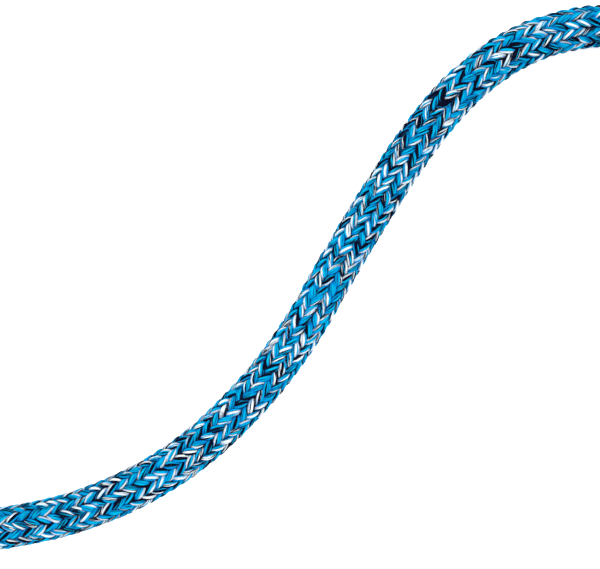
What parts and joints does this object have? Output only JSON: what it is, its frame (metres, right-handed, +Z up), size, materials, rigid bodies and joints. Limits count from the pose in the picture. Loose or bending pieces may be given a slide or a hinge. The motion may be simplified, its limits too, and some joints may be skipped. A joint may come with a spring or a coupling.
{
  "type": "dynamic climbing rope",
  "caption": "Dynamic kernmantle climbing rope: braided sheath over twisted core strands, sleeved melted ends, one stretch lying free, the rest folded in a strapped hank.",
  "frame": {"origin": "middle of the object's footprint, on the surface it lies on", "axes": "+X along the free stretch towards the hank and along the hank's runs, +Z up"},
  "size_m": [0.5181, 0.1378, 0.1446],
  "materials": {
    "sheath": "braided polyamide, blue with white and dark navy yarns",
    "core": "twisted white polyamide strands",
    "tape": "thin plain plastic tape",
    "sleeve": "black heat-shrunk sleeve, satin",
    "melted_end": "melted polyamide, glossy and uneven",
    "webbing": "woven black webbing"
  },
  "bodies": {
    "root": {"coiled_end": "sheath", "coiled_end_sleeve": "sleeve", "coiled_end_tip": "melted_end", "core_strand_1": "core", "core_strand_2": "core", "core_strand_3": "core", "core_strand_4": "core", "core_strand_5": "core", "core_strand_6": "core", "core_strand_middle": "core", "free_end_sleeve": "sleeve", "free_end_tip": "melted_end", "hank_inner_turns": "sheath", "hank_outer_turns": "sheath", "marker_tape": "tape", "sheath_free_stretch": "sheath", "strap_1": "webbing", "strap_2": "webbing"}
  },
  "joints": []
}
